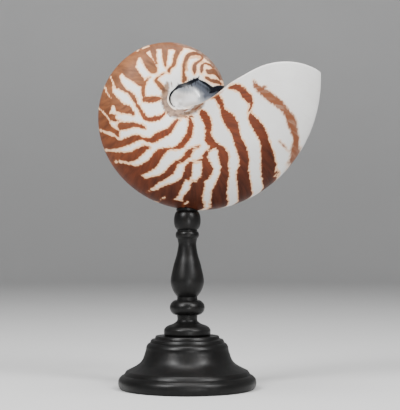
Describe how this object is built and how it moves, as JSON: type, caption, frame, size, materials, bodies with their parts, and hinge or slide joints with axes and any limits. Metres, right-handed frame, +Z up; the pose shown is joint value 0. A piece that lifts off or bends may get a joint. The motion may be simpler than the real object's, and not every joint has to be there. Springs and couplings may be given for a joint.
{
  "type": "nautilus shell on stand",
  "caption": "Nautilus shell, whole, with its open body chamber, resting on a turned black wooden column and stepped round base.",
  "frame": {"origin": "centre of the base's underside, on the stand's axis", "axes": "+Z up along the stand; the shell's coil axis along Y; aperture and lip towards +X"},
  "size_m": [0.1699, 0.105, 0.2637],
  "materials": {
    "shell_cream": "satin shell, cream with red-brown bands",
    "stem_black": "black satin lacquer on turned wood",
    "base_black": "black satin lacquer on turned wood"
  },
  "bodies": {
    "root": {"nautilus_shell": "shell_cream", "stem": "stem_black", "base": "base_black"}
  },
  "joints": []
}
